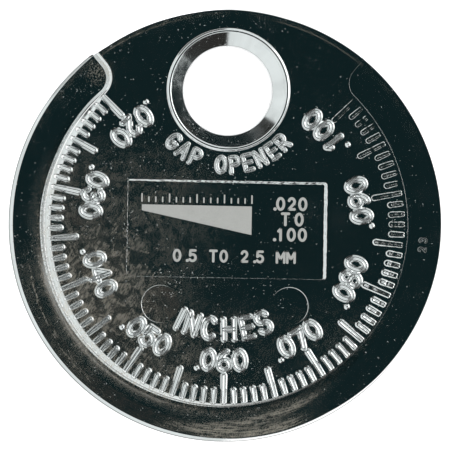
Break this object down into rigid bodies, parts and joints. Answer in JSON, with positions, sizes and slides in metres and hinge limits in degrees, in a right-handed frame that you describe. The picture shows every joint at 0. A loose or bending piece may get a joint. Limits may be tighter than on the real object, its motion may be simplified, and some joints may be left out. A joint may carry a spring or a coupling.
{
  "type": "spark plug gap gauge",
  "caption": "Round plated coin gauge with a ramped rim, a raised scale on each face, and a coned key ring hole.",
  "frame": {"origin": "centre of the coin, on the plane that the back scale's ribs rest on", "axes": "+Z out of the front face with the inch scale and panel, +Y towards the key ring hole, +X to the right as the front is read"},
  "size_m": [0.041, 0.041, 0.003],
  "materials": {
    "plating": "bright nickel and chrome plate on a zinc die casting"
  },
  "bodies": {
    "root": {"gap_gauge": "plating"}
  },
  "joints": []
}
